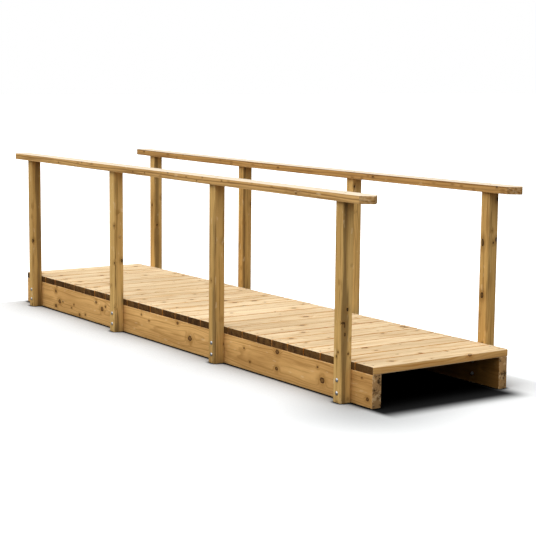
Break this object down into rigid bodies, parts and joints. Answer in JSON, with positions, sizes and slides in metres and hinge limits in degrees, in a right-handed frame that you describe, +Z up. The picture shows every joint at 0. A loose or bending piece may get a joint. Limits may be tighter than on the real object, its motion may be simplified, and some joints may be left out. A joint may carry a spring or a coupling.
{
  "type": "wooden footbridge",
  "caption": "Straight flat timber footbridge: side beams on edge, close cross boards, posts bolted outside the beams, and flat handrails with cut corners.",
  "frame": {"origin": "on the ground, under the middle of the deck", "axes": "+X along the bridge, +Y across it towards the left-hand side of someone walking along +X, +Z up"},
  "size_m": [3.4, 0.921, 0.9],
  "materials": {
    "beam_timber": "planed knotty pine, honey yellow, rough-sawn grey-brown ends",
    "deck_timber": "pale planed pine tops with dark brown end grain",
    "post_timber": "planed olive-brown pressure-treated pine with dark heartwood streaks",
    "handrail_timber": "planed pine, pale on top, darker along the sides and brown at the cut ends",
    "zinc_fastener": "bright zinc-plated coach bolts, nuts, washers and screws"
  },
  "bodies": {
    "root": {"side_beam_right": "beam_timber", "side_beam_left": "beam_timber", "deck_board_01": "deck_timber", "deck_board_02": "deck_timber", "deck_board_03": "deck_timber", "deck_board_04": "deck_timber", "deck_board_05": "deck_timber", "deck_board_06": "deck_timber", "deck_board_07": "deck_timber", "deck_board_08": "deck_timber", "deck_board_09": "deck_timber", "deck_board_10": "deck_timber", "deck_board_11": "deck_timber", "deck_board_12": "deck_timber", "deck_board_13": "deck_timber", "deck_board_14": "deck_timber", "deck_board_15": "deck_timber", "deck_board_16": "deck_timber", "deck_board_17": "deck_timber", "deck_board_18": "deck_timber", "deck_board_19": "deck_timber", "deck_board_20": "deck_timber", "deck_board_21": "deck_timber", "deck_board_22": "deck_timber", "deck_board_23": "deck_timber", "deck_board_24": "deck_timber", "deck_board_25": "deck_timber", "deck_board_26": "deck_timber", "deck_board_27": "deck_timber", "post_right_1": "post_timber", "post_right_2": "post_timber", "post_right_3": "post_timber", "post_right_4": "post_timber", "post_left_1": "post_timber", "post_left_2": "post_timber", "post_left_3": "post_timber", "post_left_4": "post_timber", "handrail_right": "handrail_timber", "handrail_left": "handrail_timber"}
  },
  "joints": []
}
